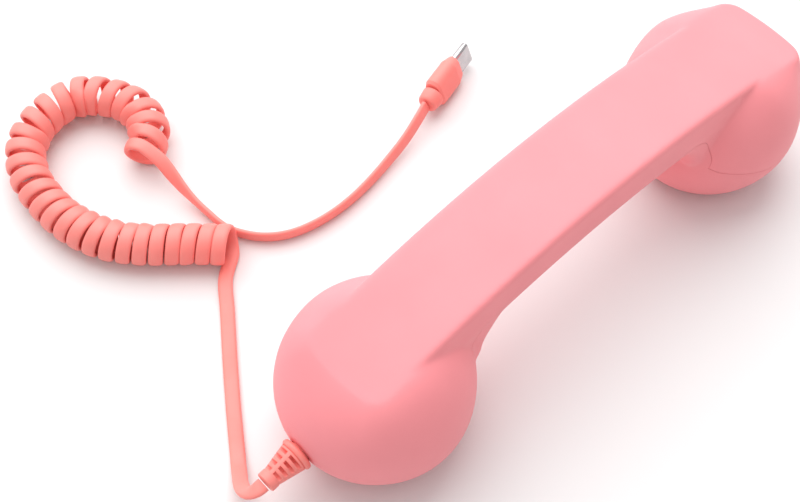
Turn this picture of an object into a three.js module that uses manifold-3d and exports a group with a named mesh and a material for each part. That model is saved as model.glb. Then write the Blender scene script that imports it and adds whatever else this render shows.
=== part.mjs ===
// Retro telephone handset with a curly cord and a USB-C plug. Millimetres, +Z up.
// It lies on its two cups. X runs along the grip, from the mouth end to the ear end.
import * as THREE from 'three';
import { mergeVertices } from 'three/addons/utils/BufferGeometryUtils.js';
import Module from 'manifold-3d';

const wasm = await Module();
wasm.setup();

// ---------------------------------------------------------------- driving dimensions
const GAP = 0.3; // between pieces that touch
const WALL = 2.2; // shells
const BACK_RADIUS = 314; // arched back, seen from the side
const BACK_TOP = 58.3; // highest point of the back above the table
const CUP = { x: 75, z: 23, radius: 30, tilt: 0.264, cut: 25.4, blend: 18 };
const GRIP = { half: 15.2, thickness: 14.5, draft: 0.11, topRound: 2.4, bottomRound: 5, reach: 85 };
const NECK = { x: 34.5, z: 29.6, radius: 12, half: 16.2 }; // hollow curve from grip to cup
const SEAT = { radius: 17.4, depth: 2.6, floor: 5.2, opening: 11.5 }; // where a cap sits
const CAP = { radius: 17.1, bottom: 0.5, top: 1.6 };
const BOSS = { y: 15.9, radius: 2.6, bottom: 5.5 }; // shell screw bosses, two in each cup
const STANDOFF = { radius: 2, hole: 0.75 };
const BUTTON_BOARD = { x: 0, length: 54, width: 20, z: 52.2, thickness: 1.2, posts: [-24, 24] };
const AUDIO_BOARD = { x: -46, length: 26, width: 20, z: 46.6, thickness: 1.2, posts: [-54, -38] };
const WEIGHT = { radius: 12, z: 32, height: 7, hole: 1.7 };
const KEYS = [
  { name: 'call_button', x: 19, half: 4.5, width: 9, travel: 0.7 },
  { name: 'volume_up_key', x: 3, half: 4, width: 5.5, travel: 0.6 },
  { name: 'volume_down_key', x: -9, half: 4, width: 5.5, travel: 0.6 },
];
const SWITCH = { size: 4.5, height: 2, nub: 0.6 };
const RELIEF = { x: -104.78, z: 19.4, tilt: 0.122, length: 13.6, base: 4.9, end: 3.1, core: 2.1 };
const STRAP = 4.4; // width of the flat cord
const COIL = 13.6; // outer diameter of the coiled part
const PLUG = { x: 15.5, y: 72.1, z: 5.85, turn: 0.26, roll: 1.23 }; // rolled nearly onto its edge

const SOFT_PINK = 0xf4a3ac;
const CORD_PINK = 0xf79c93;

// ---------------------------------------------------------------- solids
function toSolid(geometry) {
  const bare = geometry.clone();
  bare.deleteAttribute('normal');
  bare.deleteAttribute('uv');
  const merged = mergeVertices(bare, 1e-4);
  return new wasm.Manifold(new wasm.Mesh({
    numProp: 3,
    vertProperties: new Float32Array(merged.attributes.position.array),
    triVerts: new Uint32Array(merged.index.array),
  }));
}

function toGeometry(solid) {
  const mesh = solid.getMesh();
  const geometry = new THREE.BufferGeometry();
  geometry.setAttribute('position', new THREE.BufferAttribute(mesh.vertProperties, 3));
  geometry.setIndex(new THREE.BufferAttribute(mesh.triVerts, 1));
  geometry.computeVertexNormals();
  return geometry;
}

const union = (...solids) => solids.reduce((sum, solid) => sum.add(solid));

function box(width, depth, height, x, y, z) {
  return toSolid(new THREE.BoxGeometry(width, depth, height).translate(x, y, z + height / 2));
}

function rod(radius, bottom, top, x, y, sides = 24) {
  const geometry = new THREE.CylinderGeometry(radius, radius, top - bottom, sides);
  return toSolid(geometry.rotateX(Math.PI / 2).translate(x, y, (bottom + top) / 2));
}

// A turned solid: the outline's points are (radius, height), going up.
function turned(outline, sides = 32) {
  const points = outline.map(([radius, height]) => new THREE.Vector2(radius, height));
  return toSolid(new THREE.LatheGeometry(points, sides).rotateX(Math.PI / 2));
}

// An outline in the XZ plane, pulled out to both sides of it.
function sideSolid(shape, half, segments = 6) {
  const geometry = new THREE.ExtrudeGeometry(shape, {
    depth: 2 * half, bevelEnabled: false, curveSegments: segments,
  });
  return toSolid(geometry.translate(0, 0, -half).rotateX(Math.PI / 2));
}

function tubeGeometry(points, radius, steps, sides = 8) {
  const section = new THREE.Shape();
  section.absarc(0, 0, radius, 0, 2 * Math.PI);
  const path = new THREE.CatmullRomCurve3(points.map((p) => new THREE.Vector3(...p)));
  return new THREE.ExtrudeGeometry(section, {
    extrudePath: path, steps, curveSegments: sides / 2, bevelEnabled: false,
  });
}

const backHeight = (x) => BACK_TOP - BACK_RADIUS + Math.sqrt(BACK_RADIUS ** 2 - x ** 2);
const underside = (x) => backHeight(x) - GRIP.thickness;

// ---------------------------------------------------------------- body of the handset
class BackArc extends THREE.Curve {
  constructor(reach) {
    super();
    this.angle = Math.asin(reach / BACK_RADIUS);
  }

  getPoint(t, target = new THREE.Vector3()) {
    const angle = (2 * t - 1) * this.angle;
    const height = BACK_TOP - BACK_RADIUS + BACK_RADIUS * Math.cos(angle);
    return target.set(BACK_RADIUS * Math.sin(angle), 0, height);
  }
}

// Section of the grip: x across, y down from the back, walls leaning out by the draft.
function gripSection(inset) {
  const { draft, topRound, bottomRound } = GRIP;
  const half = GRIP.half - inset;
  const bottom = GRIP.thickness - inset;
  const low = half + draft * (bottom - inset);
  const near = Math.max(topRound - inset, 0.8);
  const far = Math.max(bottomRound - inset, 1);
  const shape = new THREE.Shape();
  shape.moveTo(-half + near, inset);
  shape.lineTo(half - near, inset);
  shape.quadraticCurveTo(half, inset, half + draft * near, inset + near);
  shape.lineTo(low - draft * far, bottom - far);
  shape.quadraticCurveTo(low, bottom, low - far, bottom);
  shape.lineTo(-low + far, bottom);
  shape.quadraticCurveTo(-low, bottom, -low + draft * far, bottom - far);
  shape.lineTo(-half - draft * near, inset + near);
  shape.quadraticCurveTo(-half, inset, -half + near, inset);
  return shape;
}

function grip(inset) {
  return toSolid(new THREE.ExtrudeGeometry(gripSection(inset), {
    extrudePath: new BackArc(GRIP.reach - inset), steps: 16, curveSegments: 3, bevelEnabled: false,
  }));
}

function arcPoints(x, y, radius, from, to, count) {
  const step = (to - from) / count;
  return Array.from({ length: count + 1 }, (_, i) => [
    x + radius * Math.cos(from + i * step), y + radius * Math.sin(from + i * step),
  ]);
}

// A ball with a flat top that rolls softly into it. Its axis leans outward along X.
function cup(side, inset) {
  const radius = CUP.radius - inset;
  const blend = CUP.blend - inset;
  const middle = CUP.cut - CUP.blend;
  const flat = Math.sqrt((CUP.radius - CUP.blend) ** 2 - middle ** 2);
  const meet = Math.atan2(middle, flat);
  const outline = [
    [0, -radius],
    ...arcPoints(0, 0, radius, -Math.PI / 2, meet, 11).slice(1),
    ...arcPoints(flat, middle, blend, meet, Math.PI / 2, 3).slice(1),
    [0, middle + blend],
  ];
  const tilt = THREE.MathUtils.radToDeg(CUP.tilt) * side;
  return turned(outline, 30).rotate([0, tilt, 0]).translate([side * CUP.x, 0, CUP.z]);
}

// Fills the corner under the grip, beside a cup, with a hollow curve below it.
function neck(side, inset) {
  const radius = NECK.radius + inset;
  const shape = new THREE.Shape();
  shape.moveTo(NECK.x - 4, NECK.z + radius + 1);
  shape.lineTo(NECK.x, NECK.z + radius);
  for (const [x, z] of arcPoints(NECK.x, NECK.z, radius, Math.PI / 2, 0, 6)) {
    shape.lineTo(x, z);
  }
  shape.lineTo(50 + inset, 22);
  shape.lineTo(64, 22);
  shape.lineTo(64, 49 - inset);
  shape.lineTo(NECK.x - 4, 51 - inset);
  const solid = sideSolid(shape, NECK.half - inset);
  return side > 0 ? solid : solid.mirror([1, 0, 0]);
}

function hull(inset) {
  return union(grip(inset), cup(1, inset), cup(-1, inset), neck(1, inset), neck(-1, inset));
}

// The parting line seen from the side: under the grip, round a tongue, and across each cup.
function partingBand() {
  const depth = 11;
  const line = [
    [-110, 2.4], [-54, 12.5], [-52, 14.5], [-52.6, 18], [-52.5, 36], [-48.5, 41.5],
    ...[-41, -28, -14, 0, 14, 28, 41].map((x) => [x, backHeight(x) - depth]),
    [48.5, 41.5], [52.5, 36], [52.6, 31], [51.8, 27.2], [54, 25.6], [70.5, 20.2], [110, 7.8],
  ].map(([x, z]) => new THREE.Vector2(x, z));
  const offset = (side) => line.map((point, i) => {
    const before = line[Math.max(i - 1, 0)];
    const after = line[Math.min(i + 1, line.length - 1)];
    const along = after.clone().sub(before).normalize();
    return new THREE.Vector2(-along.y, along.x).multiplyScalar(side * GAP / 2).add(point);
  });
  return { above: offset(1), below: offset(-1) };
}

const REACH_OUT = 40; // further than any wall from the middle plane
const SKY = 70; // above everything
const DEEP = -10; // below the table

function zone(edge, height) {
  const last = edge[edge.length - 1];
  const corners = [new THREE.Vector2(last.x, height), new THREE.Vector2(edge[0].x, height)];
  return sideSolid(new THREE.Shape([...edge, ...corners]), REACH_OUT);
}

function makeShells() {
  const below = box(260, 80, 10, 0, 0, DEEP);
  const outer = hull(0).subtract(below);
  const floors = box(260, 80, SEAT.floor - DEEP, 0, 0, DEEP);
  let walls = outer.subtract(hull(WALL).subtract(floors));
  for (const side of [-1, 1]) {
    const x = side * CUP.x;
    walls = walls.subtract(rod(SEAT.radius, -1, SEAT.depth, x, 0, 40));
    walls = walls.subtract(rod(SEAT.opening, 0, SEAT.floor + 1, x, 0, 32));
  }
  const parting = partingBand();
  let upper = walls.intersect(zone(parting.above, SKY));
  let lower = walls.intersect(zone(parting.below, DEEP));

  let posts = [];
  let holes = [];
  for (const x of [-CUP.x, CUP.x]) {
    posts.push(rod(3.5, WEIGHT.z + WEIGHT.height + GAP, SKY, x, 0, 12));
    holes.push(rod(1.5, WEIGHT.z, 46, x, 0, 12));
    for (const y of [-BOSS.y, BOSS.y]) {
      posts.push(rod(BOSS.radius, BOSS.bottom, SKY, x, y, 10));
      holes.push(rod(1.1, 0, 14, x, y, 8));
      lower = lower.subtract(rod(2.3, 0, 4.3, x, y, 12)).subtract(rod(1.1, 0, 8, x, y, 8));
    }
  }
  for (const board of [BUTTON_BOARD, AUDIO_BOARD]) {
    const top = board.z + board.thickness;
    for (const x of board.posts) {
      posts.push(rod(STANDOFF.radius, top + GAP, SKY, x, 0, 10));
      holes.push(rod(STANDOFF.hole + 0.25, top, top + 2.2, x, 0, 8));
    }
  }
  upper = union(upper, ...posts.map((post) => post.intersect(outer)));
  upper = holes.reduce((rest, hole) => rest.subtract(hole), upper);

  const exit = new THREE.CylinderGeometry(3.6, 3.6, 12, 24).rotateZ(Math.PI / 2);
  exit.rotateY(-RELIEF.tilt).translate(RELIEF.x, 0, RELIEF.z);
  upper = upper.subtract(toSolid(exit));
  for (const key of KEYS) {
    lower = lower.subtract(keySolid(key, GAP, underside(key.x) - 3, underside(key.x) + 4));
  }
  return { upper, lower };
}

// ---------------------------------------------------------------- caps and what sits behind them
function ringPlaces(count, radius) {
  return Array.from({ length: count }, (_, i) => {
    const angle = (2 * Math.PI * (i + 0.5)) / count;
    return [radius * Math.cos(angle), radius * Math.sin(angle)];
  });
}

function makeCap(x, rings) {
  let cap = turned([
    [0, CAP.bottom + 0.5], [8, CAP.bottom + 0.3], [14.5, CAP.bottom], [CAP.radius, CAP.bottom],
    [CAP.radius, CAP.top], [0, CAP.top],
  ]).translate([x, 0, 0]);
  for (const [count, radius] of rings) {
    for (const [dx, dy] of ringPlaces(count, radius)) {
      cap = cap.subtract(rod(1.1, 0, 3, x + dx, dy, 6));
    }
  }
  return cap;
}

const makeCloth = (x) => rod(16.8, CAP.top + GAP, SEAT.depth - GAP, x, 0, 32);

function makeSpeakerFrame() {
  return turned([
    [9.8, 5.5], [12.8, 5.5], [12.8, 9.5], [0, 9.5], [0, 8.4], [9.8, 8.4], [9.8, 5.5],
  ]).translate([CUP.x, 0, 0]);
}

function makeDiaphragm() {
  return turned([
    [0, 6.9], [4, 6.6], [5, 5.8], [9.4, 5.8], [9.4, 6.3], [5.4, 6.4], [4.2, 7.2], [0, 7.6],
  ], 24).translate([CUP.x, 0, 0]);
}

function makeBoot() {
  const outline = [
    [5.15, 5.5], [12.8, 5.5], [12.8, 6.6], [7.5, 6.6], [7.5, 11.2], [5.15, 11.2], [5.15, 5.5],
  ];
  return turned(outline, 24).translate([-CUP.x, 0, 0]);
}

const makeWeight = (x) => rod(WEIGHT.radius, WEIGHT.z, WEIGHT.z + WEIGHT.height, x, 0, 32)
  .subtract(rod(WEIGHT.hole, 0, SKY, x, 0, 12));

// A screw that points up: its head's underside of the head faces up.
function makeScrew(headRadius, headBottom, headTop, shankRadius, tip) {
  return turned([
    [0, headBottom], [headRadius - 0.4, headBottom], [headRadius, headBottom + 0.4],
    [headRadius, headTop], [shankRadius, headTop], [shankRadius, tip - 0.6], [0, tip],
  ], 10).subtract(box(headRadius * 1.2, 0.5, 0.5, 0, 0, headBottom))
    .subtract(box(0.5, headRadius * 1.2, 0.5, 0, 0, headBottom));
}

// ---------------------------------------------------------------- boards, switches and keys
function makeBoard(board) {
  let plate = box(board.length, board.width, board.thickness, board.x, 0, board.z);
  for (const x of board.posts) {
    plate = plate.subtract(rod(1.1, board.z - 1, board.z + 3, x, 0, 12));
  }
  return plate;
}

function makeSwitch(x) {
  const top = BUTTON_BOARD.z - GAP;
  const bottom = top - SWITCH.height;
  return box(SWITCH.size, SWITCH.size, SWITCH.height, x, 0, bottom)
    .add(rod(1.1, bottom - SWITCH.nub, bottom + 1, x, 0, 12));
}

// A key's outline, grown by a margin: round when it is as long as it is wide.
function keySolid(key, margin, bottom, top) {
  const radius = key.width / 2 + margin;
  const run = key.half - key.width / 2;
  const body = rod(radius, bottom, top, key.x + run, 0, 20);
  if (run === 0) return body;
  const middle = box(2 * run, 2 * radius, top - bottom, key.x, 0, bottom);
  return union(body, middle, rod(radius, bottom, top, key.x - run, 0, 20));
}

function makeKey(key) {
  const face = underside(key.x) - 0.7;
  const flange = underside(key.x) + WALL + 2 * GAP;
  const nub = BUTTON_BOARD.z - GAP - SWITCH.height - SWITCH.nub;
  return union(
    keySolid(key, 0, face, flange + 0.5),
    keySolid(key, 0.9, flange, flange + 0.9),
    rod(1.4, flange + 0.5, nub - key.travel - 0.3, key.x, 0, 12),
  );
}

// ---------------------------------------------------------------- strain relief and plug
// Turned about the cord's axis, then laid along -X and tipped down with the cup's wall.
function makeRelief() {
  const { length, base, end, core } = RELIEF;
  const bodyStart = 2.6;
  const collar = length - 2.6;
  let relief = turned([
    [0, -4.6], [5.2, -4.6], [5.2, -3.1], [3.3, -3.1], [3.3, GAP],
    ...arcPoints(4.5, 1.35, 1.05, -Math.PI / 2, Math.PI / 2, 5),
    [base, bodyStart], [end, collar], [end + 0.15, collar + 0.1], [end + 0.15, length], [0, length],
  ], 20);
  const slots = 4;
  const pitch = (collar - bodyStart) / slots;
  for (let i = 0; i < slots; i += 1) {
    const bottom = bodyStart + pitch * (i + 0.32);
    const ring = rod(7, bottom, bottom + pitch * 0.5, 0, 0, 8);
    const rib = box(1.5, 14, 4, 0, 0, bottom - 1);
    relief = relief.subtract(ring.subtract(rod(core, 0, 20, 0, 0, 10)).subtract(rib));
  }
  const degrees = THREE.MathUtils.radToDeg(RELIEF.tilt);
  return relief.rotate([0, 0, 90]).rotate([0, -90 - degrees, 0]).translate([RELIEF.x, 0, RELIEF.z]);
}

// Plug pieces are drawn along +Z from the cord, flat side up, and laid down together.
function layPlug(solid) {
  const geometry = toGeometry(solid);
  geometry.rotateZ(PLUG.roll).rotateY(Math.PI / 2).rotateZ(PLUG.turn);
  return geometry.translate(PLUG.x, PLUG.y, PLUG.z);
}

// A slab with rounded ends: wide along Y, thick along X.
function stadium(width, thickness, bottom, top, sides = 16) {
  const radius = thickness / 2;
  const run = width / 2 - radius;
  return union(
    rod(radius, bottom, top, 0, run, sides),
    rod(radius, bottom, top, 0, -run, sides),
    box(thickness, 2 * run, top - bottom, 0, 0, bottom),
  );
}

const OVERMOULD = { start: 5.1, end: 21.1 };
const SHELL_LENGTH = 6.65;

function makePlugPieces() {
  const collar = turned([[0, 0], [3.2, 0], [3.6, 0.6], [4, 4.2], [3.8, 4.8], [0, 4.8]], 20);
  const soften = stadium(11.2, 5.9, OVERMOULD.start, OVERMOULD.end);
  const overmould = stadium(11.8, 6.6, OVERMOULD.start + 0.5, OVERMOULD.end - 0.5).add(soften);
  const front = OVERMOULD.end + GAP;
  const inside = stadium(7.7, 1.92, front + 0.6, front + SHELL_LENGTH + 1, 12);
  const shell = stadium(8.34, 2.56, front, front + SHELL_LENGTH, 12).subtract(inside);
  const tongue = box(0.7, 5.2, 4.6, 0, 0, front + 0.9);
  return { collar, overmould, shell, tongue };
}

// ---------------------------------------------------------------- cord
// Middle of the strap from the relief down to the table and along to the coil.
const LEAD = [
  [-118.9, 0, 17.65], [-121, 0.2, 17.2], [-122.8, 2, 14.8], [-122.8, 5, 11.4], [-121.4, 8.4, 8],
  [-119.3, 11.8, 5.2], [-117, 15.3, 3.4], [-114.4, 19, 2.5], [-106.6, 30, 2.3], [-95.9, 44.5, 2.3],
  [-84.6, 59.3, 2.3], [-77.4, 68.7, 2.3],
];
// Middle of the coiled part: straight, then round a bend to its open end.
const COIL_LINE = [
  [-69.8, 74.4], [-79.2, 83.6], [-91.5, 95.1], [-98.5, 104.7], [-102.3, 116.2], [-102.9, 129.3],
  [-100.3, 142.3], [-93.1, 152.2], [-81.4, 156.8], [-70, 156], [-62.1, 148.4], [-57.9, 138.3],
  [-58.6, 131.7], [-61.7, 125.9], [-67.4, 121.9],
].map(([x, y]) => [x, y, COIL / 2 + 0.1]);
// Off the top of the coil's last turn, past the coil's start, and along to the plug.
// The strap stands on its edge here, so its middle is half its width above the table.
const TAIL = [
  [-66.6, 114, 10.1], [-66.4, 108.1, 6.9], [-66.4, 103.2, 4.9], [-66.2, 98.4, 3.5], [-65.8, 91, 2.6],
  [-65, 82.4, 2.4], [-61.4, 75.2, 2.4], [-57, 70.3, 2.4], [-51.5, 66.7, 2.4], [-44.8, 64.4, 2.4],
  [-37.1, 63.1, 2.4], [-28.4, 62.9, 2.4], [-18.4, 63.9, 2.5], [-7.6, 65.8, 2.9], [1.1, 67.6, 3.7],
  [9.4, 70, 5], [15.1, 71.95, 5.8],
];

// ---------------------------------------------------------------- assembly
const phone = new THREE.Group();

function add(name, shape, color, roughness = 0.6, metalness = 0) {
  const geometry = shape.isBufferGeometry ? shape : toGeometry(shape);
  const material = new THREE.MeshStandardMaterial({ color, roughness, metalness });
  const mesh = new THREE.Mesh(geometry, material);
  mesh.name = name;
  phone.add(mesh);
  return mesh;
}

const STEEL = [0xb9bcc0, 0.35, 1];
const shells = makeShells();
add('upper_shell', shells.upper, SOFT_PINK, 0.55);
add('lower_shell', shells.lower, SOFT_PINK, 0.55);

add('ear_cap', makeCap(CUP.x, [[1, 0.01], [6, 4.2], [12, 8.4], [18, 12.4]]), SOFT_PINK, 0.55);
add('mouth_cap', makeCap(-CUP.x, [[1, 0.01], [6, 4.2]]), SOFT_PINK, 0.55);
add('ear_cloth', makeCloth(CUP.x), 0x2a2427, 0.95);
add('mouth_cloth', makeCloth(-CUP.x), 0x2a2427, 0.95);
add('speaker_frame', makeSpeakerFrame(), ...STEEL);
add('speaker_diaphragm', makeDiaphragm(), 0x3a3536, 0.7);
add('speaker_magnet', rod(8, 9.8, 13.8, CUP.x, 0, 24), 0x8d9096, 0.4, 1);
add('microphone_boot', makeBoot(), 0x2b2b2d, 0.85);
add('microphone_capsule', rod(4.85, 5.7, 12.4, -CUP.x, 0, 24), ...STEEL);
for (const [name, x] of [['ear', CUP.x], ['mouth', -CUP.x]]) {
  add(`${name}_weight`, makeWeight(x), 0x7d8086, 0.5, 1);
  const screw = makeScrew(2.7, WEIGHT.z - 2, WEIGHT.z - GAP, 1.2, WEIGHT.z + 13);
  add(`${name}_weight_screw`, screw, ...STEEL).position.set(x, 0, 0);
  for (const [place, y] of [['front', -BOSS.y], ['back', BOSS.y]]) {
    const shellScrew = makeScrew(2, 2.7, 4, 0.8, 13);
    add(`${name}_shell_screw_${place}`, shellScrew, ...STEEL).position.set(x, y, 0);
  }
}

add('button_board', makeBoard(BUTTON_BOARD), 0x2f6b4a, 0.5);
add('audio_board', makeBoard(AUDIO_BOARD), 0x2f6b4a, 0.5);
add('audio_chip', box(7, 7, 1, AUDIO_BOARD.x, 0, AUDIO_BOARD.z - GAP - 1), 0x1d1d1f, 0.5);
for (const [name, board] of [['button', BUTTON_BOARD], ['audio', AUDIO_BOARD]]) {
  board.posts.forEach((x, i) => {
    const screw = makeScrew(1.7, board.z - 1.3, board.z - GAP, 0.7, board.z + 3);
    add(`${name}_board_screw_${i + 1}`, screw, ...STEEL).position.set(x, 0, 0);
  });
}
for (const key of KEYS) {
  add(key.name, makeKey(key), SOFT_PINK, 0.5);
  add(`${key.name}_switch`, makeSwitch(key.x), 0x35363a, 0.5);
}

const WIRES = {
  speaker_wire: [[70, 4, 14.5], [61, 5, 24], [53, 5, 38], [44, 5, 48.2], [34, 5, 51.6], [27.6, 5, 52.8]],
  microphone_wire: [[-72, 3, 12.9], [-62, 5, 22], [-56, 5, 34], [-55, 5, 45.8]],
  link_wire: [[-32.5, -5, 47.2], [-30, -5, 49.8], [-27.6, -5, 52.7]],
  cord_core_wire: [[-99.6, 0, 20.1], [-91, -2, 33], [-86, -4, 41.6], [-74, -6, 45.2], [-66, -6, 46.4],
    [-59.6, -5.5, 47.2]],
};
for (const [name, points] of Object.entries(WIRES)) {
  add(name, tubeGeometry(points, 0.7, 12, 6), 0xb04a4a, 0.6);
}

add('strain_relief', makeRelief(), CORD_PINK, 0.6);
add('cord_lead', tubeGeometry(LEAD, STRAP / 2, 24), CORD_PINK, 0.6);
add('cord_coil', tubeGeometry(COIL_LINE, COIL / 2, 28, 12), CORD_PINK, 0.6);
add('cord_tail', tubeGeometry(TAIL, STRAP / 2, 26), CORD_PINK, 0.6);
const plug = makePlugPieces();
add('plug_collar', layPlug(plug.collar), CORD_PINK, 0.6);
add('plug_overmould', layPlug(plug.overmould), CORD_PINK, 0.6);
add('plug_shell', layPlug(plug.shell), 0xc9c4c6, 0.3, 1);
add('plug_tongue', layPlug(plug.tongue), 0x2b2b2d, 0.6);

export default phone;
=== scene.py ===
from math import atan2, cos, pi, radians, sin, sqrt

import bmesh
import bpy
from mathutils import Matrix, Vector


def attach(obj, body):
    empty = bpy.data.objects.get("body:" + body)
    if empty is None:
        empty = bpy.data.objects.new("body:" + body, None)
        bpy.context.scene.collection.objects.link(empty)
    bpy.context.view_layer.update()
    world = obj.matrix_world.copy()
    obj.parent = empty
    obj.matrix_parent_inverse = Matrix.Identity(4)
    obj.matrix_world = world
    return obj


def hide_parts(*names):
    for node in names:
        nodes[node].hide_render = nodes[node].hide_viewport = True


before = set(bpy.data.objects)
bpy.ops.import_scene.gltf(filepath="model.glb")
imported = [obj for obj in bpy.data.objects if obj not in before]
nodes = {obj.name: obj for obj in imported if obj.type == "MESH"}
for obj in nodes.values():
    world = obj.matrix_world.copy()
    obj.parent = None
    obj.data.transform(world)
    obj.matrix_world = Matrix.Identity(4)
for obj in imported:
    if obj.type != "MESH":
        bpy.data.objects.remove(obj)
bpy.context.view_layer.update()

# %% [markdown]
# # A soft-touch handset with a curly cord
# The object is a telephone handset that lies on its two cups. A flat curly cord
# leaves the mouth end and ends in a small plug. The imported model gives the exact
# bodies, sizes and joints. This script gives every visible piece its finished
# shape and its finish. Lengths are in metres, and `MM` turns millimetres into them.

MM = 0.001


def mm(*values):
    """A point given in millimetres, as a vector in metres."""
    return Vector(values) * MM


# %% [markdown]
# ## Camera
# The handset is seen from high on the mouth side, a little to the left. A camera
# could be aimed by a Track To constraint, but writing its three axes straight into
# its matrix keeps it exact: right, up, and backwards, which is the way a Blender
# camera's own Z axis points.

# %% Camera
ELEVATION = radians(58.5)
HEADING = radians(43.3)  # how far the view's right side is turned from X towards -Y
LENS = 72.0
CAMERA_AT = (-216.05, -160.38, 445.5)  # millimetres


def make_camera():
    right = Vector((cos(HEADING), -sin(HEADING), 0))
    level = Vector((sin(HEADING), cos(HEADING), 0))
    up = level * sin(ELEVATION) + Vector((0, 0, cos(ELEVATION)))
    data = bpy.data.cameras.new("camera")
    data.lens, data.sensor_width = LENS, 36.0
    data.clip_start, data.clip_end = 0.01, 20.0
    camera = bpy.data.objects.new("camera", data)
    bpy.context.scene.collection.objects.link(camera)
    turn = Matrix((right, up, right.cross(up))).transposed()
    camera.matrix_world = Matrix.Translation(mm(*CAMERA_AT)) @ turn.to_4x4()
    bpy.context.scene.camera = camera
    return camera


camera = make_camera()
print("camera looks along", [round(v, 3) for v in camera.matrix_world.to_3x3() @ Vector((0, 0, -1))])

# %% [markdown]
# ## Helpers for modelling by operators
# An operator works on whatever is selected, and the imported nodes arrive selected.
# So each new primitive starts from an empty selection, and faces or points are
# picked in code by where they are or which way they face.

# %% Selecting, edit mode and modifiers


def only(obj):
    """Makes obj the one selected and active object, in object mode."""
    if bpy.context.object and bpy.context.object.mode != "OBJECT":
        bpy.ops.object.mode_set(mode="OBJECT")
    bpy.ops.object.select_all(action="DESELECT")
    obj.select_set(True)
    bpy.context.view_layer.objects.active = obj
    return obj


def named(name):
    """Names the object that an operator has just added."""
    obj = bpy.context.object
    obj.name = obj.data.name = name
    return obj


def edit(obj, mode="VERT"):
    only(obj)
    bpy.ops.object.mode_set(mode="EDIT")
    bpy.ops.mesh.select_mode(type=mode)
    bpy.ops.mesh.select_all(action="DESELECT")
    return bmesh.from_edit_mesh(obj.data)


def pick(obj, kind, test):
    """Selects, in edit mode, each vertex, edge or face that passes the test."""
    mesh = bmesh.from_edit_mesh(obj.data)
    for group in (mesh.faces, mesh.edges, mesh.verts):
        for item in group:
            item.select = False
    chosen = [item for item in getattr(mesh, kind) if test(item)]
    for item in chosen:
        item.select = True
    mesh.select_flush_mode()
    bmesh.update_edit_mesh(obj.data)
    return len(chosen)


def done(obj):
    """Leaves edit mode."""
    bpy.ops.object.mode_set(mode="OBJECT")
    return obj


def modify(obj, kind, **settings):
    """Adds a modifier and applies it at once."""
    only(obj)
    modifier = obj.modifiers.new(kind.lower(), kind)
    for key, value in settings.items():
        setattr(modifier, key, value)
    bpy.ops.object.modifier_apply(modifier=modifier.name)
    return obj


def combine(obj, other, operation):
    """Joins, cuts or overlaps obj with another solid, which is then thrown away."""
    modify(obj, "BOOLEAN", object=other, operation=operation, solver="MANIFOLD")
    bpy.data.objects.remove(other)
    return obj


def smooth(obj, degrees=35):
    only(obj)
    bpy.ops.object.shade_smooth_by_angle(angle=radians(degrees))
    return obj


def settle(obj):
    """Puts an object's place, turn and size into its mesh."""
    only(obj)
    bpy.ops.object.transform_apply(location=True, rotation=True, scale=True)
    return obj


def copy_of(obj, name):
    other = obj.copy()
    other.data = obj.data.copy()
    other.name = other.data.name = name
    bpy.context.scene.collection.objects.link(other)
    return other


# %% [markdown]
# ## Finishes
# All colours are mixed from noise on Object coordinates, so a pattern stays on its
# piece. The soft-touch coating is a matt, slightly velvety film: a high roughness
# that wanders a little, a weak sheen, a fine grain in the bump, and a very faint
# cloudiness in the colour. The cord is a slightly glossier, warmer rubber.

# %% A node tree made by a few short calls


class Finish:
    """Builds one material: each call adds a node and returns its output."""

    def __init__(self, name, rough, **values):
        self.material = bpy.data.materials.new(name)
        self.material.use_nodes = True
        self.tree = self.material.node_tree
        self.shader = self.tree.nodes["Principled BSDF"]
        self.shader.inputs["Roughness"].default_value = rough
        for key, value in values.items():
            self.shader.inputs[key.replace("_", " ")].default_value = value
        self.place = self.tree.nodes.new("ShaderNodeTexCoord").outputs["Object"]

    def node(self, kind, inputs=(), **settings):
        made = self.tree.nodes.new("ShaderNode" + kind)
        for key, value in settings.items():
            setattr(made, key, value)
        for key, value in dict(inputs).items():
            if hasattr(value, "is_output"):
                self.tree.links.new(value, made.inputs[key])
            else:
                made.inputs[key].default_value = value
        return made

    def noise(self, per_metre, detail=2.0, place=None):
        inputs = {"Vector": place or self.place, "Scale": per_metre, "Detail": detail}
        return self.node("TexNoise", inputs).outputs["Fac"]

    def spread(self, value, low, high, to_low=0.0, to_high=1.0):
        inputs = {"Value": value, "From Min": low, "From Max": high, "To Min": to_low, "To Max": to_high}
        return self.node("MapRange", inputs, clamp=True).outputs["Result"]

    def mix(self, share, first, second):
        inputs = {0: share, 6: first, 7: second}
        return self.node("Mix", inputs, data_type="RGBA").outputs[2]

    def sums(self, first, second, weight):
        inputs = {0: second, 1: weight, 2: first}
        return self.node("Math", inputs, operation="MULTIPLY_ADD").outputs[0]

    def colour(self, value):
        self.tree.links.new(value, self.shader.inputs["Base Color"])
        return self

    def rough(self, value):
        self.tree.links.new(value, self.shader.inputs["Roughness"])
        return self

    def bump(self, height, depth, strength=1.0):
        inputs = {"Height": height, "Distance": depth, "Strength": strength}
        made = self.node("Bump", inputs).outputs["Normal"]
        self.tree.links.new(made, self.shader.inputs["Normal"])
        return self


def tint(red, green, blue):
    """A colour as it looks on screen, 0 to 255, as the linear values that a shader needs."""
    return tuple((v / 255) ** 2.2 for v in (red, green, blue)) + (1.0,)


# %% Soft-touch shell, keys and the cord's rubber


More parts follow.
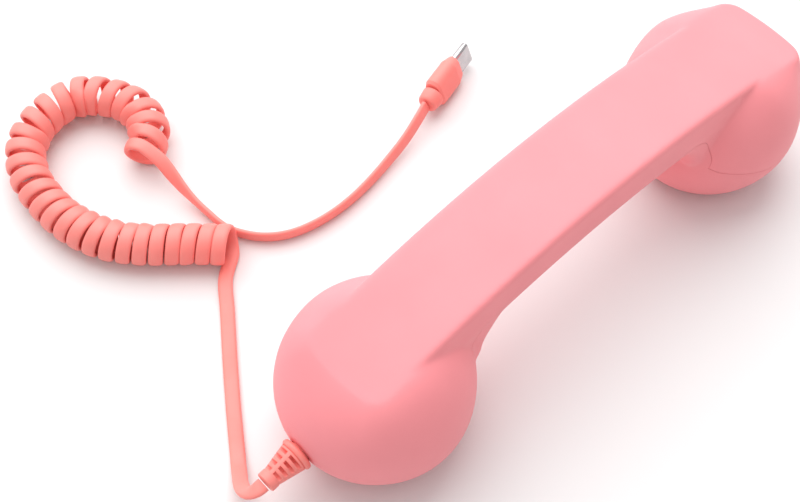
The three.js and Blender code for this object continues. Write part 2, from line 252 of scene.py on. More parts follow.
def soft_touch(name, base, rough=0.56, grain=0.35):
    made = Finish(name, rough, **{"Sheen_Weight": 0.06, "Sheen_Roughness": 0.5, "Specular_IOR_Level": 0.28})
    cloud = made.spread(made.noise(38, 3), 0.3, 0.7)
    speck = made.spread(made.noise(2600, 2), 0.45, 0.62)
    darker = tuple(v * 0.955 for v in base[:3]) + (1.0,)
    paler = tuple(min(1.0, v * 1.02) for v in base[:3]) + (1.0,)
    film = made.mix(cloud, darker, paler)
    made.colour(made.mix(made.spread(speck, 0, 1, 0, 0.25), film, darker))
    made.rough(made.sums(made.spread(made.noise(60, 4), 0.3, 0.7, rough - 0.05, rough + 0.05), speck, 0.03))
    made.bump(made.sums(made.noise(5200, 2), made.noise(900, 2), 0.6), 0.00003, grain)
    return made.material


def cord_rubber(name, base, lines=False):
    made = Finish(name, 0.47, **{"Specular_IOR_Level": 0.45})
    cloud = made.spread(made.noise(120, 3), 0.3, 0.7)
    darker = tuple(v * f for v, f in zip(base[:3], (0.985, 0.93, 0.92))) + (1.0,)
    made.colour(made.mix(cloud, darker, base))
    made.rough(made.spread(made.noise(210, 3), 0.3, 0.7, 0.41, 0.53))
    grain = made.sums(made.noise(3400, 2), made.noise(420, 3), 0.8)
    if lines:
        along = made.node("UVMap", uv_map="along").outputs["UV"]
        place = made.node("Mapping", {"Vector": along, "Scale": (12, 2400, 1)}).outputs["Vector"]
        grain = made.sums(grain, made.noise(1, 2, place), 1.6)
    made.bump(grain, 0.00003, 0.4)
    return made.material


SHELL_PINK = tint(254, 150, 156)
CORD_PINK = tint(253, 141, 133)
shell_finish = soft_touch("soft_touch_pink", SHELL_PINK)
cord_finish = cord_rubber("cord_rubber_pink", CORD_PINK, lines=True)
cover_finish = cord_rubber("cover_rubber_pink", CORD_PINK)
print("finishes:", len(bpy.data.materials))


def dress(obj, *materials):
    """Gives a piece its materials in place of any it has."""
    obj.data.materials.clear()
    for material in materials:
        obj.data.materials.append(material)
    return obj


# %% [markdown]
# ## The cord's route
# The cord is one length of flat rubber strap, under 5 mm wide. It leaves the strain
# relief, drops to the table, winds into a left-handed coil, and runs on to the
# plug. Its centreline is a list of points, and a smooth curve goes through them.
# The coil is a loop over its turns, round its own curved axis.

# %% Smooth lines through points


def smooth_line(points, per_span):
    """A centripetal Catmull-Rom curve through the points."""
    points = [Vector(p) for p in points]
    points = [2 * points[0] - points[1], *points, 2 * points[-1] - points[-2]]
    line = []
    for i in range(1, len(points) - 2):
        p, k = points[i - 1 : i + 3], [0.0]
        for a, b in zip(p, p[1:]):
            k.append(k[-1] + (b - a).length ** 0.5)
        for step in range(per_span):
            t = k[1] + (k[2] - k[1]) * step / per_span
            first = [p[j].lerp(p[j + 1], (t - k[j]) / (k[j + 1] - k[j])) for j in range(3)]
            second = [first[j].lerp(first[j + 1], (t - k[j]) / (k[j + 2] - k[j])) for j in range(2)]
            line.append(second[0].lerp(second[1], (t - k[1]) / (k[2] - k[1])))
    return [*line, points[-2]]


def spaced(line, count):
    """The line again, as count + 1 points an equal distance apart."""
    lengths = [0.0]
    for a, b in zip(line, line[1:]):
        lengths.append(lengths[-1] + (b - a).length)
    made, k = [], 0
    for i in range(count + 1):
        goal = lengths[-1] * i / count
        while k < len(line) - 2 and lengths[k + 1] < goal:
            k += 1
        share = (goal - lengths[k]) / max(lengths[k + 1] - lengths[k], 1e-12)
        made.append(line[k].lerp(line[k + 1], share))
    return made


# %% Route points
LEAD = [(-118.9, 0, 17.65), (-121, 0.2, 17.2), (-122.8, 2, 14.8), (-122.8, 5, 11.4), (-121.4, 8.4, 8),
        (-119.3, 11.8, 5.2), (-117, 15.3, 3.4), (-114.4, 19, 2.5), (-106.6, 30, 2.3), (-95.9, 44.5, 2.3),
        (-84.6, 59.3, 2.3), (-77.4, 68.7, 2.3)]
COIL_LINE = [(-69.8, 74.4), (-79.2, 83.6), (-91.5, 95.1), (-98.5, 104.7), (-102.3, 116.2), (-102.9, 129.3),
             (-100.3, 142.3), (-93.1, 152.2), (-81.4, 156.8), (-70, 156), (-62.1, 148.4), (-57.9, 138.3),
             (-58.6, 131.7), (-61.7, 125.9), (-68.4, 121.2)]
TAIL = [(-66.6, 114, 10.1), (-66.4, 108.1, 6.9), (-66.4, 103.2, 4.9), (-66.2, 98.4, 3.5), (-65.8, 91, 2.6),
        (-65, 82.4, 2.4), (-61.4, 75.2, 2.4), (-57, 70.3, 2.4), (-51.5, 66.7, 2.4), (-44.8, 64.4, 2.4),
        (-37.1, 63.1, 2.4), (-28.4, 62.9, 2.4), (-18.4, 63.9, 2.5), (-7.6, 65.8, 2.9), (1.1, 67.6, 3.7),
        (9.4, 70, 5), (15.1, 71.95, 5.8)]
STRAP_WIDTH, STRAP_THICK = 4.75, 1.95
ROUND_MIDDLE = 2.3  # height of the points' middle where the cord lies on the table
COIL_OUTER = 13.6
COIL_RADIUS = (COIL_OUTER - STRAP_THICK) / 2
TURNS = 28.5
STEPS_PER_TURN = 30


def lowered(point):
    """A strap is thinner than it is wide, so where it lies flat its middle is lower than a round cord's."""
    x, y, z = point
    share = min(1.0, max(0.0, (5.5 - z) / (5.5 - ROUND_MIDDLE)))
    return Vector((x, y, z - (ROUND_MIDDLE - STRAP_THICK / 2 - 0.1) * share))


def ease(share):
    """0 to 1 with a soft start and end."""
    share = max(0.0, min(1.0, share))
    return share * share * (3 - 2 * share)


# %% [markdown]
# ## The coil
# Each turn goes round the coil's own axis, which runs straight and then round a
# bend. On the inside of the bend the turns have less room than the strap is wide,
# so they lean on each other like roof tiles; on the outside they stand apart. The
# lean comes from the room that each point of a turn has.

# %% Points and faces of the coil
LEAN_TURNS = 23.5  # before this turn the straps lean back on the last one, after it forward
STRAIGHT_TURNS, STRAIGHT_PITCH, BEND_PITCH = 9.5, 4.95, 6.0
SMALL = ((0.1, 2.3, 0.4), (0.1, 5.1, 1.9))  # how far a turn strays: size, turns per cycle, start


def wobble(turn):
    return sum(size * sin(2 * pi * turn / cycle + start) for size, cycle, start in SMALL)


def axis_shares(steps):
    """How far along the axis each step is, from 0 to 1: the turns open up in the bend."""
    shares = [0.0]
    for i in range(steps):
        opened = ease((i / STEPS_PER_TURN - STRAIGHT_TURNS) / 4)
        shares.append(shares[-1] + STRAIGHT_PITCH + (BEND_PITCH - STRAIGHT_PITCH) * opened)
    return [share / shares[-1] for share in shares]


def lean_angle(room):
    """A strap with less room than its width lies on the next one, tilted."""
    full = atan2(STRAP_THICK, sqrt(max(0.1, room * room - STRAP_THICK**2)))
    return ease((STRAP_WIDTH + 0.25 - room) / 0.7) * min(radians(50), full)


def make_coil():
    steps = round(TURNS * STEPS_PER_TURN)
    fine = 8 * steps
    axis = spaced(smooth_line([(x, y, COIL_OUTER / 2 + 0.1) for x, y in COIL_LINE], 40), fine)
    length = sum((b - a).length for a, b in zip(axis, axis[1:]))
    shares = axis_shares(steps)
    points, normals = [], []
    for i, share in enumerate(shares):
        turn = i / STEPS_PER_TURN
        k = min(max(round(share * fine), 60), fine - 60)
        ahead = (axis[k + 8] - axis[k - 8]).normalized()
        before, after = (axis[k] - axis[k - 60]).normalized(), (axis[k + 60] - axis[k]).normalized()
        bend = (after - before) / (60 * length / fine)
        side = Vector((ahead.y, -ahead.x, 0))
        angle = -pi / 2 + 2 * pi * turn
        out = cos(angle) * side + Vector((0, 0, sin(angle)))
        fade = min(1.0, i / 20, (steps - i) / 20)
        stray = wobble(turn) * (1 + 1.5 * ease((turn - STRAIGHT_TURNS) / 4)) * fade
        middle = axis[round(share * fine)] + ahead * stray * (0.5 + 0.5 * sin(angle))
        points.append(middle + out * COIL_RADIUS)
        pitch = (shares[min(i + 1, steps)] - shares[max(i - 1, 0)]) * length * STEPS_PER_TURN / 2
        lean = lean_angle(pitch * (1 - bend.dot(out) * COIL_RADIUS)) * fade
        way = max(-1.0, min(1.0, (LEAN_TURNS - turn) / 1.5))
        normals.append(-out * cos(lean) + ahead * way * sin(lean))
    return points, normals, length / TURNS


coil_points, coil_normals, mean_pitch = make_coil()
coil_run = sum((b - a).length for a, b in zip(coil_points, coil_points[1:]))
print("coil: mean pitch", round(mean_pitch, 2), "mm, centreline", round(coil_run), "mm")

# %% [markdown]
# ## The strap
# One mesh is swept along the whole centreline: a flat section with round edges and
# slightly crowned faces. A curve with a bevel could do this, but a mesh lets each
# ring be turned exactly, so the strap lies flat on the table, faces inwards in the
# coil, and rolls into the plug. Its UV map measures metres along and round the
# strap, for the fine lines that extrusion leaves.

# %% Centreline and facing, from the strain relief to the plug
PLUG_AT, PLUG_TURN, PLUG_ROLL = mm(15.5, 72.1, 5.85), 0.26, 1.23
ON_EDGE, AT_PLUG = radians(96), radians(70.5)  # how far the strap has rolled from lying flat
UP = Vector((0, 0, 1))


def run_length(line):
    return sum((b - a).length for a, b in zip(line, line[1:]))


def make_route():
    lead = smooth_line([lowered(p) for p in LEAD] + [coil_points[0], coil_points[2]], 24)[:-24]
    tail = smooth_line([coil_points[-3], coil_points[-1], *[Vector(p) for p in TAIL]], 20)[20:]
    lead = spaced(lead, round(run_length(lead) / 1.2))
    tail = spaced(tail, round(run_length(tail) / 1.2))
    points = lead[:-1] + coil_points + tail[1:]
    facing = [UP] * (len(lead) - 1) + coil_normals
    whole = run_length(tail)
    for i in range(1, len(tail)):
        along = whole * i / (len(tail) - 1)
        roll = ON_EDGE * ease(along / 30) + (AT_PLUG - ON_EDGE) * ease((along - 70) / 60)
        ahead = (tail[min(i + 1, len(tail) - 1)] - tail[i - 1]).normalized()
        facing.append(-(cos(roll) * UP + sin(roll) * ahead.cross(UP)))
    return [p * MM for p in points], facing


route, facing = make_route()

# %% Section and sweep


def strap_section(width, thick, count=20):
    """A flat oval: round edges and crowned faces."""
    section = []
    for i in range(count):
        angle = 2 * pi * i / count
        c, s = cos(angle), sin(angle)
        section.append((width / 2 * abs(c) ** 0.66 * (1 if c > 0 else -1),
                        thick / 2 * abs(s) ** 0.82 * (1 if s > 0 else -1)))
    return section


def sweep(name, line, facing, section):
    """A closed mesh that carries the section along the line, turned by the facing vectors."""
    mesh = bmesh.new()
    uv = mesh.loops.layers.uv.new("along")
    rings, lengths = [], [0.0]
    for a, b in zip(line, line[1:]):
        lengths.append(lengths[-1] + (b - a).length)
    for i, point in enumerate(line):
        ahead = (line[min(i + 1, len(line) - 1)] - line[max(i - 1, 0)]).normalized()
        normal = (facing[i] - ahead * facing[i].dot(ahead)).normalized()
        across = ahead.cross(normal)
        rings.append([mesh.verts.new(point + across * u * MM + normal * v * MM) for u, v in section])
    around = [0.0]
    closed = [*section, section[0]]
    for a, b in zip(closed, closed[1:]):
        around.append(around[-1] + sqrt((a[0] - b[0]) ** 2 + (a[1] - b[1]) ** 2) * MM)
    count = len(section)
    for i in range(len(rings) - 1):
        for j in range(count):
            n = (j + 1) % count
            face = mesh.faces.new((rings[i][j], rings[i][n], rings[i + 1][n], rings[i + 1][j]))
            places = ((i, j), (i, j + 1), (i + 1, j + 1), (i + 1, j))
            for loop, (k, m) in zip(face.loops, places):
                loop[uv].uv = (lengths[k], around[m])
    mesh.faces.new(list(reversed(rings[0])))
    mesh.faces.new(rings[-1])
    bmesh.ops.recalc_face_normals(mesh, faces=mesh.faces)
    data = bpy.data.meshes.new(name)
    mesh.to_mesh(data)
    obj = bpy.data.objects.new(name, data)
    bpy.context.scene.collection.objects.link(obj)
    return smooth(obj, 60)


curly_cord = dress(sweep("curly_cord", route, facing, strap_section(STRAP_WIDTH, STRAP_THICK)), cord_finish)
print("cord faces:", len(curly_cord.data.polygons))

# %% Cord on its body
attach(curly_cord, "handset")
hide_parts("cord_lead", "cord_coil", "cord_tail")

# %% [markdown]
# ## Drawing an outline
# Turned and swept shapes start from an outline. By hand, that is a plane merged to
# one point, which is then extruded from point to point. `draw` does the same, and
# `turn_round` spins the outline about any axis. Spin can leave a doubled seam and
# inward faces, so doubles are merged and the normals are worked out again.

# %% Outlines, turned solids and pulled solids


def draw(name, points, close=False):
    """A line drawn from point to point, and filled if it closes."""
    bpy.ops.object.select_all(action="DESELECT")
    bpy.ops.mesh.primitive_plane_add(size=0.001, location=(0, 0, 0))
    obj = named(name)
    edit(obj)
    bpy.ops.mesh.select_all(action="SELECT")
    bpy.ops.mesh.merge(type="CENTER")
    bpy.ops.transform.translate(value=points[0])
    for a, b in zip(points, points[1:]):
        bpy.ops.mesh.extrude_vertices_move(TRANSFORM_OT_translate={"value": Vector(b) - Vector(a)})
    if close:
        bpy.ops.mesh.select_all(action="SELECT")
        bpy.ops.mesh.edge_face_add()
    return done(obj)


def tidy(obj, gap=0.00001):
    """Merges doubled points and turns every face outwards."""
    edit(obj)
    bpy.ops.mesh.select_all(action="SELECT")
    bpy.ops.mesh.remove_doubles(threshold=gap)
    bpy.ops.mesh.normals_make_consistent(inside=False)
    return done(obj)


def turn_round(name, outline, steps=96, place=(0, 0, 0), axis=(0, 0, 1)):
    """A turned solid. The outline is (radius, height) in millimetres, from the axis and back to it."""
    axis = Vector(axis).normalized()
    side = Vector((0, 1, 0)).cross(axis).normalized()
    place = Vector(place)
    obj = draw(name, [(place + side * r + axis * h) * MM for r, h in outline])
    edit(obj)
    bpy.ops.mesh.select_all(action="SELECT")
    bpy.ops.mesh.spin(steps=steps, angle=2 * pi, center=place * MM, axis=axis)
    done(obj)
    return tidy(obj)


def pull(name, outline, half):
    """A solid pulled out of an outline in the XZ plane, to both sides of the middle plane."""
    obj = draw(name, [mm(x, -half, z) for x, z in outline], close=True)
    edit(obj)
    bpy.ops.mesh.select_all(action="SELECT")
    bpy.ops.mesh.extrude_region_move(TRANSFORM_OT_translate={"value": mm(0, 2 * half, 0)})
    done(obj)
    return tidy(obj)


def arc(x, y, radius, start, end, count):
    step = (end - start) / count
    angles = [start + i * step for i in range(count + 1)]
    return [(x + radius * cos(angle), y + radius * sin(angle)) for angle in angles]


# %% [markdown]
# ## The handset's body
# The moulding is a few simple shapes run together: an arched grip with leaning side
# walls and a flat back, a dome over each cup that rises to the edge of that flat
# back, and a curved neck under each end of the grip. They are joined, remeshed to
# even faces and smoothed, which gives every join a small soft fillet. The grip and
# the necks, drawn a wall's thickness smaller, hollow it out, with a plain turned
# ball for the space in each cup.

# %% Sizes of the body, in millimetres
WALL, GAP = 2.2, 0.3
BACK_RADIUS, BACK_TOP = 314, 58.3
CUP_X, CUP_Z, CUP_RADIUS, CUP_TILT, CUP_CUT, CUP_BLEND = 75, 23, 30, 0.264, 25.4, 18
GRIP_HALF, GRIP_THICK, GRIP_DRAFT, GRIP_REACH = 15.5, 14.5, 0.09, 85
NECK_X, NECK_Z, NECK_RADIUS, NECK_HALF = 34.5, 29.6, 12, 16.2
# How the flat back ends past each cup's middle: reach, bulge, corner radius.
END_FACE = {1: (23.4, 1.2, 5.0), -1: (14.8, 2.2, 4.5)}
END_TRIM = {1: 3.1, -1: 0.0}  # how much flatter than a ball the ear end is
END_FULL = {1: 0.012, -1: 0.055}  # how much fuller the mouth cup's shoulder is
NECK_SOFT = {1: 4.5, -1: 1.2}  # how round the upright edges of each neck are
FACE_TILT, CREASE, FULLNESS = radians(36), radians(15), 0.8
GRAIN = 0.62 * MM  # face size after remeshing
UNDER_BACK = 0.04  # how far the domes stay below the grip's back
FULL_FROM = 0.6  # the fuller shoulder starts where the direction's cosine is below this
DOME_FROM, DOME_OVER = 0.35, 0.45  # where the plain ball turns into the shaped end, by cosine
# The neck's share of its full width where it leaves the grip, how much it gains, and over how far.
NECK_NARROW, NECK_WIDEN, NECK_RUN = 0.9, 0.1, 14


def back_height(x):
    return BACK_TOP - BACK_RADIUS + sqrt(BACK_RADIUS**2 - x * x)


# %% The four shapes


def corner(a, control, b, count):
    """A soft corner: points of the quadratic curve from a to b."""
    made = []
    for i in range(count + 1):
        t = i / count
        first, middle, last = (1 - t) ** 2, 2 * t * (1 - t), t * t
        made.append(tuple(first * p + middle * c + last * q for p, c, q in zip(a, control, b)))
    return made


def grip_section(inset, fine):
    """Half the grip's section, as (across, down), from the middle of the back to that of the underside."""
    half, bottom = GRIP_HALF - inset, GRIP_THICK - inset
    low = half + GRIP_DRAFT * (bottom - inset)
    near, far = max(1.7 - inset, 0.8), max(5 - inset, 1)
    top = corner((half - near, inset), (half, inset), (half + GRIP_DRAFT * near, inset + near), fine)
    foot = corner((low - GRIP_DRAFT * far, bottom - far), (low, bottom), (low - far, bottom), fine)
    return [*top, *foot]


def make_grip(inset, fine):
    half = grip_section(inset, fine)
    section = half + [(-y, down) for y, down in reversed(half)]
    middle = mm(0, 0, BACK_TOP - BACK_RADIUS)
    reach = atan2(GRIP_REACH - inset, sqrt(BACK_RADIUS**2 - (GRIP_REACH - inset) ** 2))
    points = []
    for y, down in section:
        radius = BACK_RADIUS - down
        points.append(middle + mm(-radius * sin(reach), y, radius * cos(reach)))
    obj = draw("grip", points, close=True)
    edit(obj)
    bpy.ops.mesh.select_all(action="SELECT")
    bpy.ops.mesh.spin(steps=12 * fine, angle=-2 * reach, center=middle, axis=(0, 1, 0))
    done(obj)
    return tidy(obj)


def face_reach(side, turn):
    """How far the flat back reaches from a cup's middle, in the direction turned from straight outwards."""
    end, bulge, round_off = END_FACE[side]
    out, across = cos(turn), abs(sin(turn))
    low, high = 0.0, 40.0
    for _ in range(30):
        middle = (low + high) / 2
        u, v = middle * out, middle * across
        a, b = u - (end - bulge * (v / GRIP_HALF) ** 2 - round_off), v - (GRIP_HALF - round_off)
        inside = sqrt(a * a + b * b) <= round_off if a > 0 and b > 0 else a <= round_off and b <= round_off
        low, high = (middle, high) if inside else (low, middle)
    return low


def dome_point(side, turn, tilt, inset):
    """The dome's shape: a ball, but towards the handset's end it rises to the edge of the flat back."""
    radius = CUP_RADIUS - inset
    out = max(0.0, cos(turn))
    wide = radius - END_TRIM[side] * out**2
    full = 1 + END_FULL[side] * sin(2 * tilt) ** 2 * max(0.0, FULL_FROM - cos(turn))
    plain = (wide * full * sin(tilt), CUP_Z + radius * full * cos(tilt))
    if tilt > pi / 2:
        return plain
    reach = face_reach(side, turn) - inset
    x = CUP_X + reach * cos(turn)
    edge = min(back_height(x) - inset - UNDER_BACK, CUP_Z + radius)
    if tilt < FACE_TILT:
        share = tilt / FACE_TILT
        drop = back_height(CUP_X + share * reach * cos(turn)) - inset - UNDER_BACK
        shaped = (reach * share, drop)
    else:
        share = (tilt - FACE_TILT) / (pi / 2 - FACE_TILT)
        slope = atan2(x, BACK_RADIUS) * cos(turn) + CREASE
        bend = max(edge - (wide - reach) * sin(slope) / cos(slope), CUP_Z + 1)
        a, b, c = (1 - share) ** 2, 2 * FULLNESS * share * (1 - share), share * share
        shaped = ((a * reach + (b + c) * wide) / (a + b + c), (a * edge + b * bend + c * CUP_Z) / (a + b + c))
    keep = ease((cos(turn) + DOME_FROM) / DOME_OVER)
    return tuple(p + (s - p) * keep for p, s in zip(plain, shaped))


def make_cup(side, inset, fine):
    """A turned ball whose points then move to the dome's shape."""
    steps, rings = 24 * fine, 10 * fine
    outline = [(CUP_RADIUS * sin(pi * i / rings), CUP_RADIUS * cos(pi * i / rings)) for i in range(rings + 1)]
    cup = turn_round("cup", outline, steps)
    for vertex in cup.data.vertices:
        across = vertex.co.xy.length
        tilt = atan2(across, vertex.co.z)
        turn = atan2(vertex.co.y, side * vertex.co.x)
        reach, z = dome_point(side, turn, tilt, inset)
        x = CUP_X + reach * cos(turn)
        vertex.co = mm(side * x, reach * sin(turn), min(z, back_height(x) - inset - UNDER_BACK))
    return cup


def make_hollow(side, inset, fine):
    """The space inside a cup: a ball whose top is rolled flat."""
    radius, blend, middle = CUP_RADIUS - inset, CUP_BLEND - inset, CUP_CUT - CUP_BLEND
    flat = sqrt((CUP_RADIUS - CUP_BLEND) ** 2 - middle**2)
    meet = atan2(middle, flat)
    ball = arc(0, 0, radius, -pi / 2, meet, 8 * fine)
    roll = arc(flat, middle, blend, meet, pi / 2, 3 * fine)
    outline = [(0, -radius), *ball[1:], *roll[1:], (0, middle + blend)]
    tilt = CUP_TILT * side
    return turn_round("cup", outline, 16 * fine, (side * CUP_X, 0, CUP_Z), (sin(tilt), 0, cos(tilt)))


def make_neck(side, inset, fine):
    radius = NECK_RADIUS + inset
    outline = [(NECK_X - 4, NECK_Z + radius + 1), *arc(NECK_X, NECK_Z, radius, pi / 2, 0, 4 * fine),
               (50 + inset, 22), (64, 22), (64, 49 - inset), (NECK_X - 4, 51 - inset)]
    neck = pull("neck", [(side * x, z) for x, z in outline], NECK_HALF - inset)
    edit(neck, "EDGE")

    def follows_curve(edge):
        low = all(v.co.z < (NECK_Z + radius + 0.5) * MM and abs(v.co.x) < 54 * MM for v in edge.verts)
        return low and abs(edge.verts[0].co.y - edge.verts[1].co.y) < 1e-6

    pick(neck, "edges", follows_curve)
    bpy.ops.mesh.bevel(offset=max(NECK_SOFT[side] - inset, 0.5) * MM, segments=5)
    bpy.ops.mesh.select_all(action="SELECT")
    bpy.ops.mesh.quads_convert_to_tris()
    done(neck)
    for vertex in neck.data.vertices:
        start = ease((abs(vertex.co.x) / MM - NECK_X + 4) / NECK_RUN)
        vertex.co.y *= NECK_NARROW + NECK_WIDEN * start
    return tidy(neck)


def make_body(name, inset, fine):
    body = make_grip(inset, fine)
    for side in (1, -1):
        cup = make_cup(side, inset, fine) if not inset else make_hollow(side, inset + 1.5, fine)
        combine(body, cup, "UNION")
        combine(body, make_neck(side, inset, fine), "UNION")
    body.name = body.data.name = name
    return body


# %% Outer body, soft and even


def block(name, low, high):
    """A plain cutting block between two corners, in millimetres."""
    bpy.ops.object.select_all(action="DESELECT")
    low, high = mm(*low), mm(*high)
    bpy.ops.mesh.primitive_cube_add(size=1, location=(low + high) / 2, scale=high - low)
    return settle(named(name))


def rod(name, radius, bottom, top, x, y, sides=48):
    """A plain cutting rod that stands on end, in millimetres."""
    bpy.ops.object.select_all(action="DESELECT")
    bpy.ops.mesh.primitive_cylinder_add(
        vertices=sides, radius=radius * MM, depth=(top - bottom) * MM, location=mm(x, y, (top + bottom) / 2))
    return settle(named(name))


def make_outer():
    outer = make_body("outer", 0, 8)
    combine(outer, block("below", (-130, -40, -20), (130, 40, 0)), "DIFFERENCE")
    modify(outer, "REMESH", mode="VOXEL", voxel_size=GRAIN)
    modify(outer, "SMOOTH", factor=0.5, iterations=7)
    print("outer body faces:", len(outer.data.polygons))
    return outer


outer = make_outer()
inner = make_body("inner", WALL, 4)
combine(inner, block("floors", (-130, -40, -20), (130, 40, 5.2)), "DIFFERENCE")
walls = combine(outer, inner, "DIFFERENCE")
for x in (-CUP_X, CUP_X):
    combine(walls, rod("seat", 17.4, -1, 2.6, x, 0, 96), "DIFFERENCE")
    combine(walls, rod("opening", 11.5, 0, 6.2, x, 0, 64), "DIFFERENCE")
print("hollow body faces:", len(walls.data.polygons))

# %% [markdown]
# ## Upper and lower shell
# The two mouldings meet along a line that follows the grip's lower edge, dips round
# a short tongue at the ear end, and crosses each cup low down. One solid above the
# line and one below it, a seventh of a millimetre apart, cut the hollow body in two.

# %% Parting line and the two shells
LINE_GAP = 0.14
TONGUE = [(41, back_height(41) - 11), (46.4, 43.2), (50.2, 40.2), (52.2, 36), (52.6, 31.5), (51.8, 27.2)]
TONGUE = [tuple(p) for p in smooth_line([(x, 0, z) for x, z in TONGUE], 6)]
PARTING = [(-110, 2.4), (-54, 12.5), (-52, 14.5), *[(-x, z) for x, _, z in reversed(TONGUE[2:])],
           *[(x, back_height(x) - 11) for x in (-28, -14, 0, 14, 28)],
           *[(x, z) for x, _, z in TONGUE], (54, 25.6), (70.5, 20.2), (110, 7.8)]


def parting_edge(side):
    """The parting line, moved up or down by half the gap."""
    made = []
    for i, (x, z) in enumerate(PARTING):
        (ax, az), (bx, bz) = PARTING[max(i - 1, 0)], PARTING[min(i + 1, len(PARTING) - 1)]
        length = sqrt((bx - ax) ** 2 + (bz - az) ** 2)
        moved = x - (bz - az) / length * side * LINE_GAP / 2
        made.append((moved, z + (bx - ax) / length * side * LINE_GAP / 2))
    return made


def zone(name, side, height):
    edge = parting_edge(side)
    return pull(name, [*edge, (edge[-1][0], height), (edge[0][0], height)], 40)


upper = copy_of(walls, "upper_moulding")
combine(upper, zone("above", 1, 70), "INTERSECT")
lower = walls
lower.name = lower.data.name = "lower_moulding"
combine(lower, zone("beneath", -1, -10), "INTERSECT")
for obj in (upper, lower):
    print(obj.name, "faces:", len(obj.data.polygons))

# %% Holes for the cord and the keys
# Each key's place along the grip, half length, width and travel.
KEYS = {"call_button": (19, 4.5, 9, 0.7), "volume_up_key": (3, 4, 5.5, 0.6),
        "volume_down_key": (-9, 4, 5.5, 0.6)}
RELIEF_AT, RELIEF_TILT = (-104.78, 0, 19.4), 0.122
relief_axis = Vector((-cos(RELIEF_TILT), 0, -sin(RELIEF_TILT)))


def key_block(name, key, margin, bottom, top):
    """A key's outline, round or with round ends, as a solid."""
    x, half, width, _ = KEYS[key]
    radius, run = width / 2 + margin, half - width / 2
    outline = arc(x + run, 0, radius, -pi / 2, pi / 2, 24)[: None if run else -1]
    outline += arc(x - run, 0, radius, pi / 2, 3 * pi / 2, 24)[: None if run else -1]
    made = draw(name, [mm(a, b, bottom) for a, b in outline], close=True)
    edit(made)
    bpy.ops.mesh.select_all(action="SELECT")
    bpy.ops.mesh.extrude_region_move(TRANSFORM_OT_translate={"value": mm(0, 0, top - bottom)})
    done(made)
    return tidy(made)


cord_exit = turn_round("exit", [(0, -6), (3.6, -6), (3.6, 6), (0, 6)], 48, RELIEF_AT, relief_axis)
combine(upper, cord_exit, "DIFFERENCE")
for key, (x, *_) in KEYS.items():
    under = back_height(x) - GRIP_THICK
    combine(lower, key_block("key_hole", key, GAP, under - 3, under + 4), "DIFFERENCE")

for obj, node in ((upper, "upper_shell"), (lower, "lower_shell")):
    dress(smooth(obj, 32), shell_finish)
    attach(obj, "handset")
    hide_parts(node)

# %% [markdown]
# ## Caps over the cups
# A perforated disc closes each cup: rings of small holes over the earpiece, a few
# over the microphone. The disc starts as a cylinder whose lower face is inset and
# pushed in to a shallow dish, its rim is rounded, and the holes are rods added in
# one mesh and cut away together.

# %% Caps
CAP_RADIUS, CAP_LOW, CAP_TOP = 17.1, 0.5, 1.6
EAR_HOLES = ((1, 0), (6, 4.2), (12, 8.4), (18, 12.4))
MOUTH_HOLES = ((1, 0), (6, 4.2))


def facing_down(face):
    return face.normal.z < -0.99


def hole_rods(x, rings):
    bpy.ops.object.select_all(action="DESELECT")
    bpy.ops.mesh.primitive_cylinder_add(vertices=20, radius=1.1 * MM, depth=6 * MM, location=mm(x, 0, 1))
    rods = settle(named("hole_rods"))
    edit(rods)
    for count, ring in rings[1:]:
        for i in range(count):
            angle = 2 * pi * (i + 0.5) / count
            place = mm(x + ring * cos(angle), ring * sin(angle), 1)
            bpy.ops.mesh.primitive_cylinder_add(vertices=20, radius=1.1 * MM, depth=6 * MM, location=place)
    return done(rods)


def make_cap(name, x, rings):
    cap = rod(name, CAP_RADIUS, CAP_LOW, CAP_TOP, x, 0, 96)
    edit(cap, "FACE")
    pick(cap, "faces", facing_down)
    for inset, rise in ((0.35, 0), (1.6, 0), (0.5, 0.22), (6.5, 0.16)):
        bpy.ops.mesh.inset(thickness=inset * MM)
        bpy.ops.transform.translate(value=mm(0, 0, rise))
    pick(cap, "edges", lambda e: all((v.co - mm(x, 0, v.co.z * 1000)).xy.length > 17 * MM for v in e.verts)
         and abs(e.verts[0].co.z - e.verts[1].co.z) < 1e-6)
    bpy.ops.mesh.bevel(offset=0.2 * MM, segments=3)
    done(cap)
    combine(cap, hole_rods(x, rings), "DIFFERENCE")
    dress(smooth(cap, 30), shell_finish)
    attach(cap, "handset")
    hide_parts(name[: -len("_disc")])
    return cap


for name, x, rings in (("ear_cap_disc", CUP_X, EAR_HOLES), ("mouth_cap_disc", -CUP_X, MOUTH_HOLES)):
    cap = make_cap(name, x, rings)
    print(name, "faces:", len(cap.data.polygons))

# %% [markdown]
# ## Keys under the grip
# The call button is round with a dished face for a finger tip; the two volume keys
# are ovals marked with a raised plus and minus. Each has the flange that keeps it in
# its hole and the stem that reaches its switch, and rides on its own moving body.

# %% Keys
key_finish = soft_touch("key_pink", tint(243, 138, 150), rough=0.48, grain=0.25)


